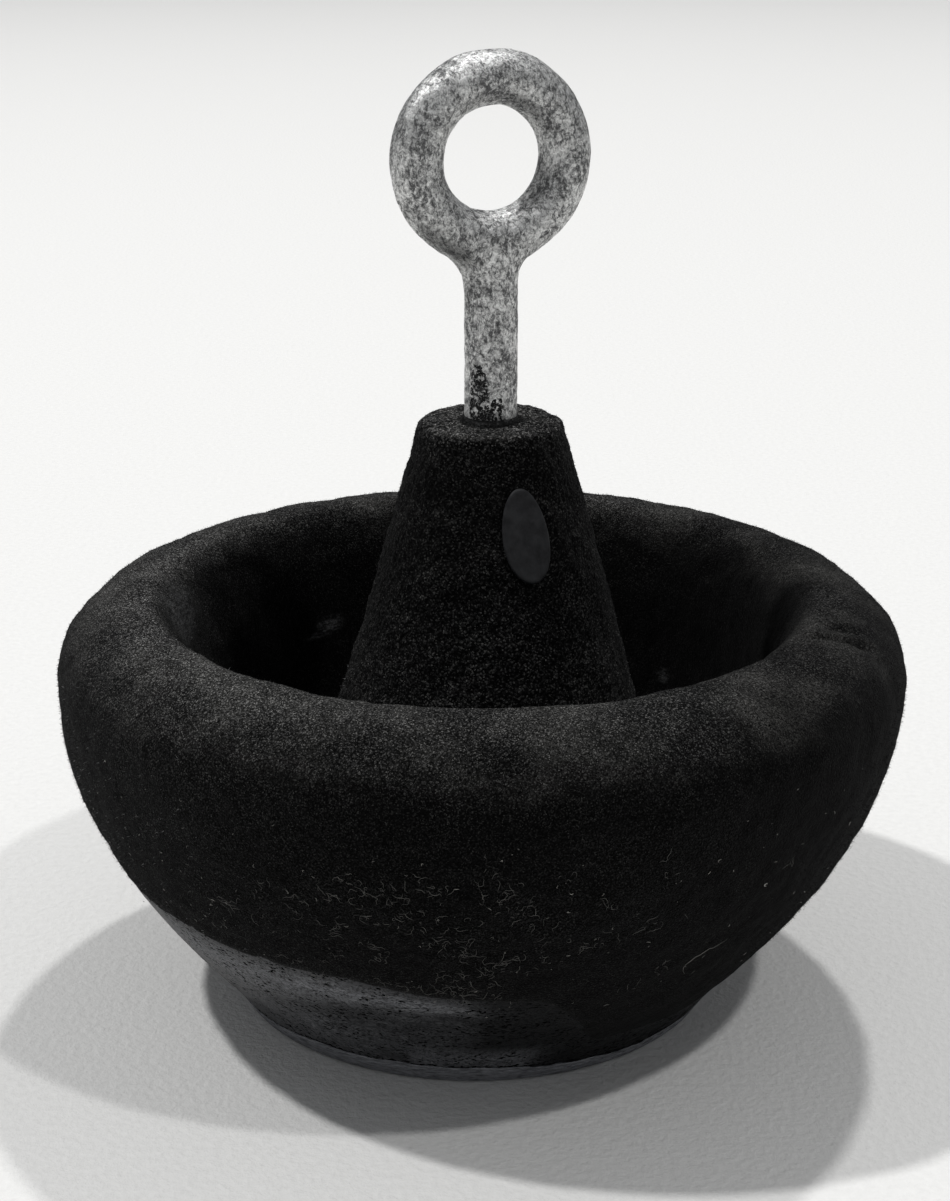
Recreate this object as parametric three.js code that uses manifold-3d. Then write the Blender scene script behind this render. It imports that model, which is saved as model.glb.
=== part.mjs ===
// Mushroom anchor: a heavy flocked bowl with a central cone, clamped by an eye bolt.
// Millimetres, +Z up, origin at the centre of the foot on the ground, front towards -Y.
import * as THREE from 'three';
import { mergeVertices } from 'three/addons/utils/BufferGeometryUtils.js';
import Module from 'manifold-3d';

const wasm = await Module();
wasm.setup();

// Driving dimensions.
const GAP = 0.3;                  // clearance between neighbouring pieces
const SKIN = 1.2;                 // thickness of the flocked skins and the rubber coat
const AROUND = 40;                // facets round the anchor
const AROUND_SMALL = 20;          // facets round the hardware

const FOOT_RADIUS = 63.7;         // nominal start of the outer side's curve
const FOOT_Z = 4;
const GROUND_RADIUS = 62.2;       // outer side at the ground
const GROUND_SLOPE = 0.6;         // radius gained per millimetre of height there
const FLARE_Z = 16;               // the flare from the ground ends here
const WIDEST_RADIUS = 107;
const WIDEST_Z = 87.4;
const SIDE_POWER = 1.99;          // roundness of the outer side
const SIDE_SHAPE = 1.07;
const CREST_RADIUS = 84.9;        // highest circle of the rolled rim
const CREST_Z = 106.3;
const MOUTH_RADIUS = 72.2;        // inner wall where the rim roll ends
const MOUTH_Z = 70.3;
const WALL_FOOT_RADIUS = 69.4;    // inner wall above its floor fillet
const FLOOR_FILLET = 9;
const FLOOR_Z = 34;               // top of the flocked floor

const COAT_TOP_Z = 36;            // upper edge of the rubber coat
const PAD_HEIGHT = 3.5;
const PAD_CHAMFER = 0.8;
const PAD_HOLE_RADIUS = 31;
const RECESS_RADIUS = 29;         // nut recess under the floor
const RECESS_Z = 22.5;

const CONE_TOP_RADIUS = 17.8;     // nominal, before the shoulder is rounded
const CONE_TOP_Z = 149.1;
const CONE_SLOPE = 0.284;         // radius gained per millimetre of depth
const CONE_SHOULDER = 2.6;
const CONE_HOLE_RADIUS = 9.6;     // hole in the cone's skin, round the shank

const SHANK_RADIUS = 6.55;        // 1/2 inch forged eye bolt
const BORE_RADIUS = 7.1;
const EYE_Z = 213.8;
const EYE_RING_RADIUS = 19.05;    // centre line of the ring
const EYE_SECTION_RADIUS = 6.35;
const EYE_YAW = THREE.MathUtils.degToRad(22);
const NECK_FILLET = 9;
const BOLT_END_Z = 2;
const THREAD_TOP_Z = 24;
const THREAD_PITCH = 25.4 / 13;
const THREAD_DEPTH = 0.9;

const NUT_ACROSS_FLATS = 19.05;
const NUT_HEIGHT = 11.1;
const LOCK_WASHER = { inner: 6.9, outer: 10.9, height: 3.0, slit: 2.2 };
const FLAT_WASHER = { inner: 7.1, outer: 17.4, height: 2.2 };

const BEAD_RADIUS = 9.2;          // dark bead round the shank on the cone
const BEAD_HEIGHT = 2.4;
const BADGE = { halfWidth: 5.8, halfHeight: 11.5, z: 126.3, azimuth: 20, lean: 5, thickness: 0.9 };

// Materials.
const FLOCK = { color: 0x131316, roughness: 0.95, metalness: 0 };
const RUBBER_COAT = { color: 0x44474e, roughness: 0.5, metalness: 0 };
const RUBBER_PAD = { color: 0x2b2c2f, roughness: 0.7, metalness: 0 };
const CAST_IRON = { color: 0x3f4042, roughness: 0.75, metalness: 0.7 };
const GALVANISED = { color: 0x8d9092, roughness: 0.5, metalness: 0.8 };
const RESIDUE = { color: 0x0c0c0d, roughness: 0.8, metalness: 0 };
const BADGE_GREY = { color: 0x232427, roughness: 0.45, metalness: 0 };

function addPiece(group, name, geometry, look) {
  const mesh = new THREE.Mesh(geometry, new THREE.MeshStandardMaterial(look));
  mesh.name = name;
  group.add(mesh);
}

// Turns a closed [radius, z] outline round +Z. The outline runs anticlockwise.
function turn(outline, facets) {
  const points = outline.map(([radius, z]) => new THREE.Vector2(radius, z));
  points.push(points[0].clone());
  const geometry = new THREE.LatheGeometry(points, facets);
  geometry.rotateX(Math.PI / 2);
  return geometry;
}

// Points of an elliptical arc, angles in degrees, both ends included.
function arc(centreR, centreZ, halfR, halfZ, from, to, steps) {
  const points = [];
  for (let i = 0; i <= steps; i += 1) {
    const angle = THREE.MathUtils.degToRad(from + ((to - from) * i) / steps);
    points.push([centreR + halfR * Math.cos(angle), centreZ + halfZ * Math.sin(angle)]);
  }
  return points;
}

// Moves an open outline sideways, to its left as it runs.
function inset(outline, distance) {
  const last = outline.length - 1;
  return outline.map(([radius, z], i) => {
    const before = outline[Math.max(i - 1, 0)];
    const after = outline[Math.min(i + 1, last)];
    const dr = after[0] - before[0];
    const dz = after[1] - before[1];
    const length = Math.hypot(dr, dz);
    return [radius - (distance * dz) / length, z + (distance * dr) / length];
  });
}

function curveRadius(z) {
  const t = (z - FOOT_Z) / (WIDEST_Z - FOOT_Z);
  const rise = 1 - Math.max(1 - t, 0) ** SIDE_POWER;
  return FOOT_RADIUS + (WIDEST_RADIUS - FOOT_RADIUS) * rise ** SIDE_SHAPE;
}

// Outer side: a parabola flares from the ground into the curve above it.
function sideRadius(z) {
  if (z >= FLARE_Z) {
    return curveRadius(z);
  }
  const straight = GROUND_RADIUS + GROUND_SLOPE * z;
  const missing = curveRadius(FLARE_Z) - GROUND_RADIUS - GROUND_SLOPE * FLARE_Z;
  return straight + missing * (z / FLARE_Z) ** 2;
}

// Outer side between two heights, or a surface that lies the given depth inside it.
function side(fromZ, toZ, steps, depth = 0) {
  const points = [];
  for (let i = 0; i <= steps; i += 1) {
    const z = fromZ + ((toZ - fromZ) * i) / steps;
    const slope = (sideRadius(z + 0.5) - sideRadius(z)) / 0.5;
    points.push([sideRadius(z) - depth * Math.hypot(1, slope), z]);
  }
  return points;
}

// Rolled rim and inner wall, from the widest circle down to the floor fillet's end.
function rimAndWall(floorZ) {
  const filletR = WALL_FOOT_RADIUS - FLOOR_FILLET;
  return [
    ...arc(CREST_RADIUS, WIDEST_Z, WIDEST_RADIUS - CREST_RADIUS, CREST_Z - WIDEST_Z, 0, 90, 5),
    ...arc(CREST_RADIUS, MOUTH_Z, CREST_RADIUS - MOUTH_RADIUS, CREST_Z - MOUTH_Z, 90, 180, 4).slice(1),
    ...arc(filletR, floorZ + FLOOR_FILLET, FLOOR_FILLET, FLOOR_FILLET, 0, -90, 3),
  ];
}

// The bowl's surface above the coat, the given depth inside the flock.
function bowlOutline(depth) {
  const lower = side(COAT_TOP_Z + GAP, WIDEST_Z, 4, depth).slice(0, -1);
  return [...lower, ...inset(rimAndWall(FLOOR_Z), depth)];
}

function bowlCover() {
  return turn([...bowlOutline(0), ...bowlOutline(SKIN).reverse()], AROUND);
}

function bowlCasting() {
  const bottomZ = PAD_HEIGHT + SKIN + 2 * GAP;
  const depth = SKIN + GAP;
  return turn([
    ...side(bottomZ, COAT_TOP_Z + GAP, 3, depth).slice(0, -1),
    ...bowlOutline(depth),
    [BORE_RADIUS, FLOOR_Z - depth],
    [BORE_RADIUS, RECESS_Z],
    [RECESS_RADIUS - 2, RECESS_Z],
    [RECESS_RADIUS, RECESS_Z - 2],
    [RECESS_RADIUS, bottomZ],
  ], AROUND);
}

// The part of the floor's skin between the bowl cover's lower end and the cone.
function bowlFloorCover() {
  const innerR = coneRadius(FLOOR_Z - SKIN) + GAP;
  const outerR = WALL_FOOT_RADIUS - FLOOR_FILLET - GAP;
  return turn([
    [innerR, FLOOR_Z - SKIN],
    [outerR, FLOOR_Z - SKIN],
    [outerR, FLOOR_Z],
    [innerR, FLOOR_Z],
  ], AROUND);
}

// Rubber dip: a band up the side that also wraps under the foot.
function baseCoat() {
  const bottomZ = PAD_HEIGHT + GAP;
  return turn([
    ...side(bottomZ, COAT_TOP_Z, 3),
    ...side(bottomZ + SKIN, COAT_TOP_Z, 3, SKIN).reverse(),
    [PAD_HOLE_RADIUS, bottomZ + SKIN],
    [PAD_HOLE_RADIUS, bottomZ],
  ], AROUND);
}

function basePad() {
  return turn([
    [PAD_HOLE_RADIUS, 0],
    [GROUND_RADIUS - PAD_CHAMFER, 0],
    ...side(PAD_CHAMFER, PAD_HEIGHT, 1),
    [PAD_HOLE_RADIUS, PAD_HEIGHT],
  ], AROUND);
}

function coneRadius(z) {
  return CONE_TOP_RADIUS + CONE_SLOPE * (CONE_TOP_Z - z);
}

// Cone side and rounded shoulder, up to the top face.
function coneOutline(bottomZ) {
  const shoulderZ = CONE_TOP_Z - CONE_SHOULDER;
  const sideEnd = coneRadius(shoulderZ);
  const shoulder = arc(sideEnd - CONE_SHOULDER, shoulderZ, CONE_SHOULDER, CONE_SHOULDER, 0, 90, 4);
  return [[coneRadius(bottomZ), bottomZ], ...shoulder];
}

function coneCover() {
  const outer = [...coneOutline(FLOOR_Z - SKIN), [CONE_HOLE_RADIUS, CONE_TOP_Z]];
  const inner = inset(outer, SKIN);
  inner[0][1] = FLOOR_Z - SKIN;
  return turn([...outer, ...inner.reverse()], AROUND);
}

function coneCasting() {
  const surface = inset(coneOutline(FLOOR_Z - SKIN), SKIN + GAP);
  surface[0][1] = FLOOR_Z - SKIN;
  return turn([
    ...surface,
    [BORE_RADIUS, CONE_TOP_Z - SKIN - GAP],
    [BORE_RADIUS, FLOOR_Z - SKIN],
  ], AROUND);
}

function toManifold(geometry) {
  const bare = geometry.clone();
  bare.deleteAttribute('normal');
  bare.deleteAttribute('uv');
  const welded = mergeVertices(bare, 1e-4);
  return new wasm.Manifold(new wasm.Mesh({
    numProp: 3,
    vertProperties: new Float32Array(welded.attributes.position.array),
    triVerts: new Uint32Array(welded.index.array),
  }));
}

function fromManifold(solid) {
  const mesh = solid.getMesh();
  const geometry = new THREE.BufferGeometry();
  geometry.setAttribute('position', new THREE.BufferAttribute(mesh.vertProperties, 3));
  geometry.setIndex(new THREE.BufferAttribute(mesh.triVerts, 1));
  return geometry;
}

// Shank outline with ridged thread and chamfered end, up into the ring.
function shankOutline() {
  const root = SHANK_RADIUS - THREAD_DEPTH;
  const points = [[0, BOLT_END_Z], [root - 0.4, BOLT_END_Z]];
  for (let z = BOLT_END_Z + 1; z < THREAD_TOP_Z; z += THREAD_PITCH) {
    points.push([root, z], [SHANK_RADIUS - 0.2, z + THREAD_PITCH / 2]);
  }
  points.push([SHANK_RADIUS, THREAD_TOP_Z + THREAD_PITCH], [SHANK_RADIUS, EYE_Z - EYE_RING_RADIUS]);
  points.push([0, EYE_Z - EYE_RING_RADIUS]);
  return points;
}

// Webs that widen the shank into the ring: an ellipse whose long side follows the fillets.
function neck() {
  const ringOuter = EYE_RING_RADIUS + EYE_SECTION_RADIUS;
  const centreX = SHANK_RADIUS + NECK_FILLET;
  const centreZ = EYE_Z - Math.sqrt((ringOuter + NECK_FILLET) ** 2 - centreX ** 2);
  const sweep = Math.asin((EYE_Z - centreZ) / (ringOuter + NECK_FILLET));
  const steps = 5;
  const sections = [];
  for (let i = 0; i <= steps; i += 1) {
    const angle = (sweep * i) / steps;
    sections.push({
      half: centreX - NECK_FILLET * Math.cos(angle),
      z: centreZ + NECK_FILLET * Math.sin(angle),
    });
  }
  const top = sections[steps];
  const inside = { half: top.half * 0.8, z: EYE_Z - EYE_RING_RADIUS };
  const outline = [...sections, inside].map(({ half, z }) => [half, z]);
  const geometry = turn([[0, centreZ], ...outline, [0, inside.z]], AROUND_SMALL);
  const position = geometry.attributes.position;
  const depth = SHANK_RADIUS - 0.35;
  for (let i = 0; i < position.count; i += 1) {
    const radius = Math.hypot(position.getX(i), position.getY(i));
    const squeeze = radius > depth ? depth / radius : 1;
    position.setY(i, position.getY(i) * squeeze);
  }
  return geometry;
}

function eyeBolt() {
  const ring = new THREE.TorusGeometry(EYE_RING_RADIUS, EYE_SECTION_RADIUS, 14, 36);
  ring.rotateX(Math.PI / 2);
  ring.translate(0, 0, EYE_Z);
  const shank = turn(shankOutline(), AROUND_SMALL);
  const solid = toManifold(ring).add(toManifold(shank)).add(toManifold(neck()));
  const geometry = fromManifold(solid);
  geometry.rotateZ(EYE_YAW);
  return geometry;
}

function sealantBead() {
  const inner = SHANK_RADIUS + GAP;
  const bottomZ = CONE_TOP_Z - SKIN;
  return turn([
    [inner, bottomZ],
    [BEAD_RADIUS, bottomZ],
    [BEAD_RADIUS, bottomZ + SKIN],
    [BEAD_RADIUS - 0.6, bottomZ + BEAD_HEIGHT - 0.3],
    [BEAD_RADIUS - 1.4, bottomZ + BEAD_HEIGHT],
    [inner, bottomZ + BEAD_HEIGHT],
  ], AROUND_SMALL);
}

function washer({ inner, outer, height }, topZ) {
  return turn([
    [inner, topZ - height],
    [outer, topZ - height],
    [outer, topZ],
    [inner, topZ],
  ], AROUND_SMALL);
}

// Washer cut through on one side by a slanted slit.
function lockWasher(topZ) {
  const { inner, outer, height, slit } = LOCK_WASHER;
  const cutter = new THREE.BoxGeometry(outer, slit, height * 4);
  cutter.rotateX(THREE.MathUtils.degToRad(30));
  cutter.translate((inner + outer) / 2, 0, topZ - height / 2);
  const whole = toManifold(washer(LOCK_WASHER, topZ));
  return fromManifold(whole.subtract(toManifold(cutter)));
}

// Six-sided nut with chamfered corners and a through bore.
function hexNut(topZ) {
  const corner = NUT_ACROSS_FLATS / Math.sqrt(3);
  const chamfer = corner - NUT_ACROSS_FLATS / 2;
  const bottomZ = topZ - NUT_HEIGHT;
  const prism = turn([[0, bottomZ], [corner, bottomZ], [corner, topZ], [0, topZ]], 6);
  const rounding = turn([
    [0, bottomZ],
    [corner - chamfer, bottomZ],
    [corner, bottomZ + chamfer * 0.6],
    [corner, topZ - chamfer * 0.6],
    [corner - chamfer, topZ],
    [0, topZ],
  ], AROUND_SMALL * 2);
  const bore = turn([
    [0, bottomZ - 1],
    [SHANK_RADIUS + GAP, bottomZ - 1],
    [SHANK_RADIUS + GAP, topZ + 1],
    [0, topZ + 1],
  ], AROUND_SMALL);
  return fromManifold(toManifold(prism).intersect(toManifold(rounding)).subtract(toManifold(bore)));
}

// Point on or above the cone's surface, from across and up distances on the badge.
function badgePoint(across, up, lift) {
  const lean = THREE.MathUtils.degToRad(BADGE.lean);
  const u = across * Math.cos(lean) - up * Math.sin(lean);
  const v = across * Math.sin(lean) + up * Math.cos(lean);
  const slant = Math.hypot(1, CONE_SLOPE);
  const z = BADGE.z + v / slant;
  const angle = THREE.MathUtils.degToRad(BADGE.azimuth - 90) + u / coneRadius(BADGE.z);
  const radius = coneRadius(z) + lift / slant;
  return [radius * Math.cos(angle), radius * Math.sin(angle), z + (lift * CONE_SLOPE) / slant];
}

// Thin oval plate that follows the cone, with a bevelled edge.
function sideBadge() {
  const rings = 20;
  const layers = [
    { scale: 0.5, lift: GAP },
    { scale: 1, lift: GAP },
    { scale: 1, lift: GAP + BADGE.thickness * 0.5 },
    { scale: 0.93, lift: GAP + BADGE.thickness },
    { scale: 0.5, lift: GAP + BADGE.thickness },
  ];
  const positions = [...badgePoint(0, 0, GAP)];
  for (const { scale, lift } of layers) {
    for (let i = 0; i < rings; i += 1) {
      const angle = (2 * Math.PI * i) / rings;
      const across = BADGE.halfWidth * scale * Math.cos(angle);
      const up = BADGE.halfHeight * scale * Math.sin(angle);
      positions.push(...badgePoint(across, up, lift));
    }
  }
  positions.push(...badgePoint(0, 0, GAP + BADGE.thickness));
  const lastPoint = positions.length / 3 - 1;
  const topRow = 1 + (layers.length - 1) * rings;
  const indices = [];
  for (let i = 0; i < rings; i += 1) {
    const next = (i + 1) % rings;
    indices.push(0, 1 + next, 1 + i);
    indices.push(lastPoint, topRow + i, topRow + next);
    for (let row = 0; row < layers.length - 1; row += 1) {
      const low = 1 + row * rings;
      const high = low + rings;
      indices.push(low + i, low + next, high + i, low + next, high + next, high + i);
    }
  }
  const geometry = new THREE.BufferGeometry();
  geometry.setAttribute('position', new THREE.Float32BufferAttribute(positions, 3));
  geometry.setIndex(indices);
  return geometry;
}

const anchor = new THREE.Group();
anchor.name = 'mushroom_anchor';

const flatWasherTop = RECESS_Z - GAP;
const lockWasherTop = flatWasherTop - FLAT_WASHER.height - GAP;
const nutTop = lockWasherTop - LOCK_WASHER.height - GAP;

addPiece(anchor, 'bowl_casting', bowlCasting(), CAST_IRON);
addPiece(anchor, 'bowl_cover', bowlCover(), FLOCK);
addPiece(anchor, 'bowl_floor_cover', bowlFloorCover(), FLOCK);
addPiece(anchor, 'base_coat', baseCoat(), RUBBER_COAT);
addPiece(anchor, 'base_pad', basePad(), RUBBER_PAD);
addPiece(anchor, 'cone_casting', coneCasting(), CAST_IRON);
addPiece(anchor, 'cone_cover', coneCover(), FLOCK);
addPiece(anchor, 'side_badge', sideBadge(), BADGE_GREY);
addPiece(anchor, 'sealant_bead', sealantBead(), RESIDUE);
addPiece(anchor, 'eye_bolt', eyeBolt(), GALVANISED);
addPiece(anchor, 'flat_washer', washer(FLAT_WASHER, flatWasherTop), GALVANISED);
addPiece(anchor, 'lock_washer', lockWasher(lockWasherTop), GALVANISED);
addPiece(anchor, 'hex_nut', hexNut(nutTop), GALVANISED);

export default anchor;
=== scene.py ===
"""Mushroom anchor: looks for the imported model. Flocked bowl and cone, dipped foot, galvanised eye bolt."""

import math

import bpy
import numpy as np
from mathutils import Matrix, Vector, noise


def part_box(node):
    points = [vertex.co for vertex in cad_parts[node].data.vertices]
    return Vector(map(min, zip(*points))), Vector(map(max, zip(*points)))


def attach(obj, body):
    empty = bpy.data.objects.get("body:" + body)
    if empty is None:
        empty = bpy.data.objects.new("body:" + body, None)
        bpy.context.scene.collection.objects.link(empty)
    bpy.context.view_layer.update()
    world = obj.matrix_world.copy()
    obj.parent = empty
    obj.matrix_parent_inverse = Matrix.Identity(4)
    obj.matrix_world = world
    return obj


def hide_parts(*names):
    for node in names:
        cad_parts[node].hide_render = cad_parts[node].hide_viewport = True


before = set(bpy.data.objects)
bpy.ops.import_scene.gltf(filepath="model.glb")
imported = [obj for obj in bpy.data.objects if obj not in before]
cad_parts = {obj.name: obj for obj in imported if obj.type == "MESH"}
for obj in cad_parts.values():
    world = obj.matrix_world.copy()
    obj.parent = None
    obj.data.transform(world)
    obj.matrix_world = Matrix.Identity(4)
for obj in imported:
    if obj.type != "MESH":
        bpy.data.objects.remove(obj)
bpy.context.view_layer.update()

rng = np.random.default_rng(11)

# Shapes below are worked out in millimetres and written to meshes in metres.
MM = 0.001


def box_mm(node):
    """Low and high corner of a CAD node's box, in millimetres."""
    low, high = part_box(node)
    return np.array(low) / MM, np.array(high) / MM


# Driving sizes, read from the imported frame.
WIDEST_RADIUS = box_mm("bowl_cover")[1][0]
CREST_Z = box_mm("bowl_cover")[1][2]
PAD_TOP_Z = box_mm("base_pad")[1][2]
CONE_TOP_Z = box_mm("cone_cover")[1][2]
FLOOR_Z = box_mm("bowl_floor_cover")[1][2]
FLOOR_OUTER_RADIUS = box_mm("bowl_floor_cover")[1][0]
EYE_TOP_Z = box_mm("eye_bolt")[1][2]
BOLT_END_Z = box_mm("eye_bolt")[0][2]
BEAD_RADIUS = box_mm("sealant_bead")[1][0]

# Proportions of the turned shapes, the same as the CAD's.
FOOT_RADIUS = 63.7
FOOT_Z = 4.0
GROUND_RADIUS = 62.2
GROUND_SLOPE = 0.6
FLARE_Z = 16.0
WIDEST_Z = 87.4
CREST_RADIUS = 84.9
MOUTH_RADIUS = 72.2
MOUTH_Z = 70.3
WALL_FOOT_RADIUS = 69.4
FLOOR_FILLET = 9.0
CONE_TOP_RADIUS = 17.8
CONE_SLOPE = 0.284
CONE_SHOULDER = 2.6
SKIN = 1.2
IRON_DEPTH = 2.6
SHANK_RADIUS = 6.55
RING_RADIUS = 19.05
RING_SECTION = 6.35
EYE_Z = EYE_TOP_Z - RING_RADIUS - RING_SECTION
EYE_YAW = math.radians(22)
THREAD_PITCH = 25.4 / 13

# Finer than the CAD: a tighter hole round the shank, and a neck with an uneven pair of fillets.
CONE_HOLE_RADIUS = 7.5
NECK_FILLET_LEFT = 11
NECK_FILLET_RIGHT = 6
NECK_HALF_WIDTH_LIMIT = 11.0

# The hand-made look: the bowl leans a little, and the cone and bolt stand off its axis.
BOWL_LEAN = 0.0227
LEAN_PIVOT_Z = 95.0
CONE_SHIFT = 2.1
CONE_SHIFT_FROM_Z = 34
CONE_SHIFT_TO_Z = 105
CONE_LIFT = 0.5

# The rubber dip's wavy upper edge, in degrees round the axis and millimetres up.
COAT_LOW_Z = 9.5
COAT_RISE = 31.0
COAT_HIGH_AZIMUTH = -62

BADGE_HALF_WIDTH = 5.8
BADGE_HALF_HEIGHT = 11.5
BADGE_Z = 126.3
BADGE_AZIMUTH = math.radians(20)
BADGE_LEAN = math.radians(5)

# Each fibre is a spike on three corners, a third of a turn apart in radians.
FIBRES_PER_PIECE = 48000
FIBRE_CORNERS = (0, 2.09, 4.19)


def smooth(value, low, high):
    t = np.clip((value - low) / (high - low), 0, 1)
    return t * t * (3 - 2 * t)


def bump_window(value, centre, half, edge):
    """1 within half of the centre, falling smoothly to 0 over edge."""
    return 1 - smooth(np.abs(value - centre), half, half + edge)


def wrapped(azimuth):
    """The same azimuth in degrees, brought between -180 and 180."""
    return (azimuth + 180) % 360 - 180


def around_axis(radius, turn, z):
    """Points at a radius, a turn in radians and a height. A turn of 0 faces the front, -Y."""
    return np.stack(np.broadcast_arrays(radius * np.sin(turn), -radius * np.cos(turn), z), -1)


def noise_field(points, size, seed=0):
    """Smooth noise between about -1 and 1 at each point, with lumps of the given size."""
    flat = points.reshape(-1, 3) / size + seed * 17.3
    values = [noise.noise(Vector(p)) for p in flat.tolist()]
    return np.array(values).reshape(points.shape[:-1])


def settle_bowl(points):
    """Leans the bowl's points to one side."""
    moved = points.copy()
    moved[..., 0] += BOWL_LEAN * (points[..., 2] - LEAN_PIVOT_Z)
    return moved


def cone_shift(z):
    return CONE_SHIFT * smooth(z, CONE_SHIFT_FROM_Z, CONE_SHIFT_TO_Z)


def settle_cone(points):
    """Moves the cone's points off the axis, and its top up."""
    moved = points.copy()
    moved[..., 0] += cone_shift(points[..., 2])
    moved[..., 2] += CONE_LIFT * smooth(points[..., 2], 110, 149)
    return moved


# Paths: open [radius, z] polylines.

def curve_radius(z):
    """Outer side above the flare: it leans out most at the foot, and is upright at the widest."""
    t = np.clip((z - FOOT_Z) / (WIDEST_Z - FOOT_Z), 0, 1)
    rise = 1 - (1 - t) ** 1.99
    return FOOT_RADIUS + (WIDEST_RADIUS - FOOT_RADIUS) * rise ** 1.07


def side_radius(z):
    """Outer side: a parabola flares from the ground into the curve above it."""
    missing = curve_radius(FLARE_Z) - GROUND_RADIUS - GROUND_SLOPE * FLARE_Z
    flare = GROUND_RADIUS + GROUND_SLOPE * z + missing * (z / FLARE_Z) ** 2
    return np.where(z < FLARE_Z, flare, curve_radius(z))


def arc(centre_r, centre_z, half_r, half_z, start, stop, steps=60):
    angle = np.radians(np.linspace(start, stop, steps))
    return np.stack([centre_r + half_r * np.cos(angle), centre_z + half_z * np.sin(angle)], 1)


def resample(path, count):
    """The same path with evenly spaced points."""
    lengths = np.concatenate([[0], np.cumsum(np.linalg.norm(np.diff(path, axis=0), axis=1))])
    wanted = np.linspace(0, lengths[-1], count)
    return np.stack([np.interp(wanted, lengths, path[:, i]) for i in (0, 1)], 1)


def side_path(low_z, high_z):
    z = np.linspace(low_z, high_z, 200)
    return np.stack([side_radius(z), z], 1)


def rim_and_wall_path():
    """From the widest circle over the rolled rim, down the inner wall to the floor fillet's end."""
    roll_height = CREST_Z - WIDEST_Z
    roll_depth = CREST_Z - MOUTH_Z
    fillet_r = WALL_FOOT_RADIUS - FLOOR_FILLET
    return np.concatenate([
        arc(CREST_RADIUS, WIDEST_Z, WIDEST_RADIUS - CREST_RADIUS, roll_height, 0, 90)[1:],
        arc(CREST_RADIUS, MOUTH_Z, CREST_RADIUS - MOUTH_RADIUS, roll_depth, 90, 180)[1:],
        arc(fillet_r, FLOOR_Z + FLOOR_FILLET, FLOOR_FILLET, FLOOR_FILLET, 0, -90, 16),
    ])


def cone_path(low_z):
    shoulder_z = CONE_TOP_Z - CONE_SHOULDER
    side_end = cone_radius(shoulder_z)
    return np.concatenate([
        [[cone_radius(low_z), low_z]],
        arc(side_end - CONE_SHOULDER, shoulder_z, CONE_SHOULDER, CONE_SHOULDER, 12, 90, 16),
        [[CONE_HOLE_RADIUS, CONE_TOP_Z]],
    ])


def cone_radius(z):
    return CONE_TOP_RADIUS + CONE_SLOPE * (CONE_TOP_Z - z)


# Grids of points: rows along a path, columns round the axis.

def turned_grid(path, columns):
    turn = np.linspace(0, 2 * math.pi, columns, endpoint=False)
    return around_axis(path[:, :1], turn, path[:, 1:])


def grid_normals(points):
    along = np.gradient(points, axis=0)
    around = np.roll(points, -1, 1) - np.roll(points, 1, 1)
    normal = np.cross(around, along)
    return normal / np.maximum(np.linalg.norm(normal, axis=2, keepdims=True), 1e-9)


def push(points, distance):
    """Moves a grid's points outwards by a distance for each."""
    return points + grid_normals(points) * distance[..., None]


def shell(outer, thickness):
    """Closes an outer grid with a coarser copy of its rows moved inwards."""
    rows = outer.shape[0]
    picked = np.unique(np.linspace(0, rows - 1, max(rows // 8, 4)).astype(int))
    inner = (outer - grid_normals(outer) * thickness)[picked]
    return np.concatenate([outer, inner[::-1]])


def set_attribute(obj, name, values):
    """Stores one number per vertex, for the materials."""
    layer = obj.data.attributes.new(name, "FLOAT", "POINT")
    layer.data.foreach_set("value", np.ravel(values).astype(np.float32))


def azimuth_of(points):
    """Degrees round the axis from the front, positive to the right."""
    return np.degrees(np.arctan2(points[..., 0], -points[..., 1]))


def mesh_object(name, vertices, faces, material, smooth_shaded=True):
    mesh = bpy.data.meshes.new(name)
    mesh.from_pydata((vertices * MM).tolist(), [], faces)
    mesh.update()
    if smooth_shaded:
        mesh.polygons.foreach_set("use_smooth", np.ones(len(mesh.polygons), bool))
    obj = bpy.data.objects.new(name, mesh)
    bpy.context.collection.objects.link(obj)
    mesh.materials.append(material)
    return obj


def grid_faces(rows, columns, closed_rows):
    row = np.arange(rows if closed_rows else rows - 1)[:, None]
    column = np.arange(columns)[None, :]
    next_row = (row + 1) % rows
    next_column = (column + 1) % columns
    corners = [row * columns + column, row * columns + next_column,
               next_row * columns + next_column, next_row * columns + column]
    return np.stack([np.broadcast_to(c, (row.size, columns)) for c in corners], 2).reshape(-1, 4).tolist()


def merged(pieces):
    """Joins (vertices, faces) pairs into one pair."""
    vertices, faces, offset = [], [], 0
    for corners, made in pieces:
        vertices.append(corners)
        faces.extend([[index + offset for index in face] for face in made])
        offset += len(corners)
    return np.concatenate(vertices), faces


def grid_object(name, points, material, closed_rows=True):
    rows, columns = points.shape[:2]
    return mesh_object(name, points.reshape(-1, 3), grid_faces(rows, columns, closed_rows), material)


def add_piece(obj, slot, *replaced):
    """Rides an object on the one body, and hides the CAD nodes that it replaces."""
    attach(obj, "root")
    if replaced:
        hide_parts(*replaced)


# Materials.

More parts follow.
